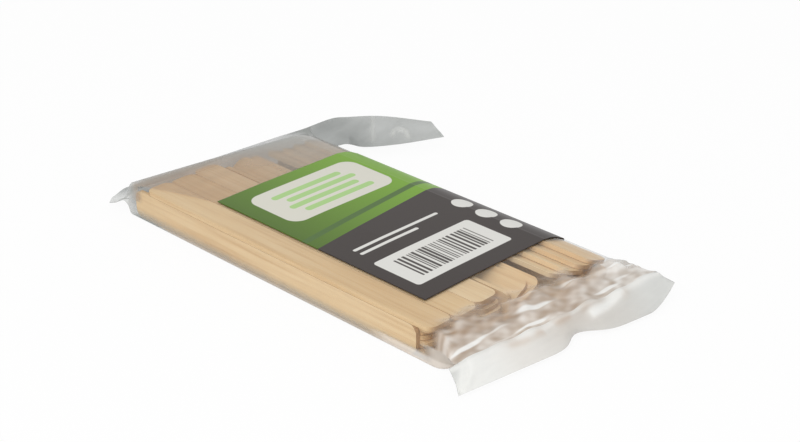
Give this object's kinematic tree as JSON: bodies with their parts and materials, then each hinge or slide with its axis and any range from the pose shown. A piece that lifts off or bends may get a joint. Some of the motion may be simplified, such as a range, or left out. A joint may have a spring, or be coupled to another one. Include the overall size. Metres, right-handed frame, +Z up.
{
  "type": "film pack of flat wooden sticks",
  "caption": "Clear film flow pack holding a slanted stack of flat wooden mini spatulas, with flat end seals, a loose corner of seal and a printed label on top.",
  "frame": {"origin": "on the flat underside of the film, below the centre of the stack of sticks", "axes": "+X along the sticks from the rear seal to the front seal, +Y across the pack from left to right, +Z up"},
  "size_m": [0.1605, 0.1078, 0.0114],
  "materials": {
    "wood": "bare, sanded",
    "clear_film": "clear gloss",
    "label_print": "satin print"
  },
  "bodies": {
    "root": {"stick_01": "wood", "stick_02": "wood", "stick_03": "wood", "stick_04": "wood", "stick_05": "wood", "stick_06": "wood", "stick_07": "wood", "stick_08": "wood", "stick_09": "wood", "stick_10": "wood", "stick_11": "wood", "stick_12": "wood", "stick_13": "wood", "stick_14": "wood", "stick_15": "wood", "stick_16": "wood", "stick_17": "wood", "stick_18": "wood", "stick_19": "wood", "stick_20": "wood", "stick_21": "wood", "stick_22": "wood", "stick_23": "wood", "stick_24": "wood", "stick_25": "wood", "stick_26": "wood", "stick_27": "wood", "stick_28": "wood", "stick_29": "wood", "stick_30": "wood", "stick_31": "wood", "stick_32": "wood", "stick_33": "wood", "stick_34": "wood", "stick_35": "wood", "stick_36": "wood", "stick_37": "wood", "stick_38": "wood", "stick_39": "wood", "stick_40": "wood", "film_wrap": "clear_film", "label": "label_print"}
  },
  "joints": []
}
